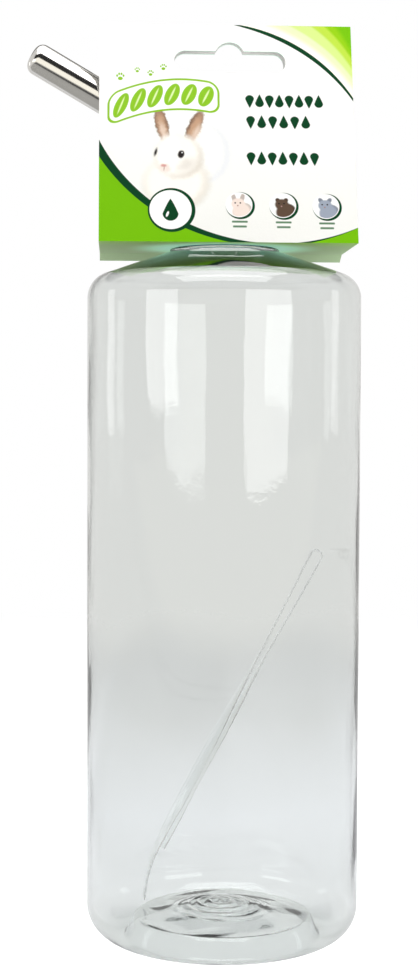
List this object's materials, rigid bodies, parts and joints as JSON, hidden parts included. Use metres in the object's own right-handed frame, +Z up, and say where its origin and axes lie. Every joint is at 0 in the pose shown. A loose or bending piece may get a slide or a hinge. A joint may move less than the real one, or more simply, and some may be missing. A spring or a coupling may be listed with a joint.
{
  "type": "rabbit water bottle",
  "caption": "Tall clear round bottle with a screw cap, a bent steel ball-valve drinking tube, a folded header card on the neck and a clear strap stored inside.",
  "frame": {"origin": "middle of the ring that the bottle stands on", "axes": "+Z up along the bottle's axis, -Y towards the front panel of the card, -X the way the drinking tube points"},
  "size_m": [0.0999, 0.082, 0.274],
  "materials": {
    "clear_pet": "clear glossy blow-moulded plastic",
    "teal_plastic": "satin moulded",
    "white_rubber": "soft matt",
    "black_rubber": "soft matt",
    "stainless": "polished stainless steel",
    "ball_steel": "ground and polished",
    "printed_card": "coated printed card",
    "clear_strap": "clear flexible plastic"
  },
  "bodies": {
    "bottle": {"bottle": "clear_pet"},
    "gasket": {"cap_gasket": "white_rubber"},
    "cap": {"screw_cap": "teal_plastic", "tube_grommet": "black_rubber"},
    "tube": {"drinking_tube": "stainless"},
    "tip_ball": {"tip_ball": "ball_steel"},
    "inner_ball": {"inner_ball": "ball_steel"},
    "card": {"header_card": "printed_card"},
    "strap": {"hanging_strap": "clear_strap"}
  },
  "joints": [
    {"name": "cap_lift", "type": "slide", "parent": "bottle", "child": "gasket", "axis": [0, 0, 1], "range_m": [0, 0.00634]},
    {"name": "cap_turn", "type": "hinge", "parent": "gasket", "child": "cap", "pos_m": [0, 0, 0.215], "axis": [0, 0, 1], "range_deg": [0, 540]},
    {"name": "tube_swivel", "type": "hinge", "parent": "cap", "child": "tube", "pos_m": [0, 0, 0.22], "axis": [0, 0, 1], "continuous": true},
    {"name": "card_swivel", "type": "hinge", "parent": "tube", "child": "card", "pos_m": [0, 0, 0.2077], "axis": [0, 0, 1], "range_deg": [-1, 1]},
    {"name": "tip_ball_roll", "type": "slide", "parent": "tube", "child": "tip_ball", "axis": [-0.866, 0, 0.5], "range_m": [0, 0.009]},
    {"name": "inner_ball_roll", "type": "slide", "parent": "tube", "child": "inner_ball", "axis": [-0.866, 0, 0.5], "range_m": [0, 0.009]},
    {"name": "strap_loose", "type": "hinge", "parent": "bottle", "child": "strap", "pos_m": [0, 0, 0.05], "axis": [0, 0, 1], "continuous": true}
  ],
  "couplings": [
    {"joint": "cap_turn", "follows": "cap_lift", "rad_per_m": 1485.4},
    {"joint": "inner_ball_roll", "follows": "tip_ball_roll", "ratio": 1}
  ]
}
